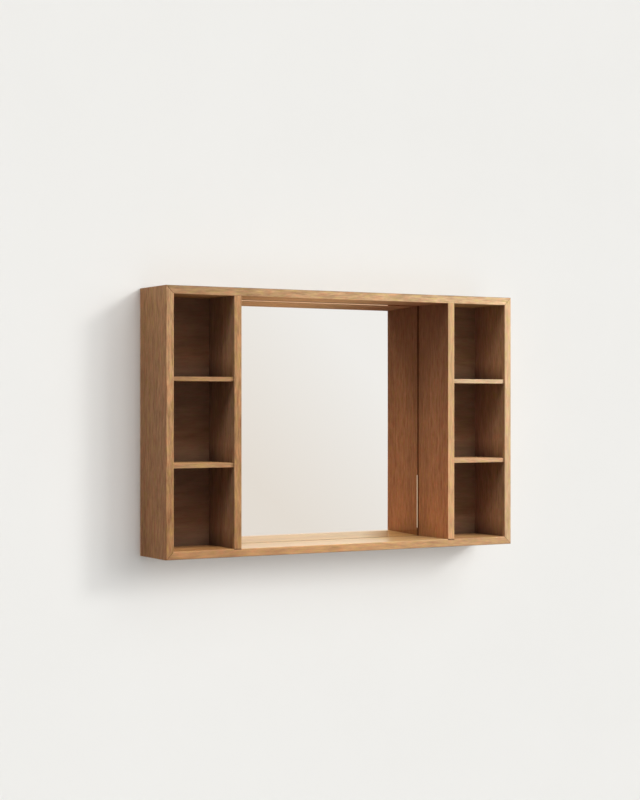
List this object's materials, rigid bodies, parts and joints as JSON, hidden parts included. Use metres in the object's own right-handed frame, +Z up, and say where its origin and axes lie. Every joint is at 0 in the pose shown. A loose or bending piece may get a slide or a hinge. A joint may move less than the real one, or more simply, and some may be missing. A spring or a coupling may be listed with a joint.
{
  "type": "bathroom mirror cabinet",
  "caption": "Open wall-hung cabinet of mitred wood boards, with a recessed mirror between side bays of fixed shelves, hung on keyhole plates let in flush behind.",
  "frame": {"origin": "midway between the two keyhole entries, on the wall plane behind the cabinet", "axes": "+X to the right along the width, +Y from the front to the wall, +Z up"},
  "size_m": [1, 0.15, 0.65],
  "materials": {
    "wood": "oiled solid wood, satin",
    "back_panel_wood": "oiled veneered panel, satin",
    "mirror": "silvered glass with polished edges",
    "tape": "foam mounting tape",
    "backing_board": "raw plywood",
    "joint_wood": "raw beech",
    "steel": "zinc-plated steel"
  },
  "bodies": {
    "root": {"top_panel": "wood", "bottom_panel": "wood", "left_side_panel": "wood", "right_side_panel": "wood", "left_divider": "wood", "right_divider": "wood", "left_upper_shelf": "wood", "left_lower_shelf": "wood", "right_upper_shelf": "wood", "right_lower_shelf": "wood", "left_back_panel": "back_panel_wood", "right_back_panel": "back_panel_wood", "mirror_glass": "mirror", "mirror_tape_strips": "tape", "mirror_backing_board": "backing_board", "backing_board_screws": "steel", "mitre_splines": "joint_wood", "divider_dowels": "joint_wood", "shelf_dowels": "joint_wood", "left_keyhole_plate": "steel", "right_keyhole_plate": "steel", "keyhole_plate_screws": "steel"}
  },
  "joints": []
}
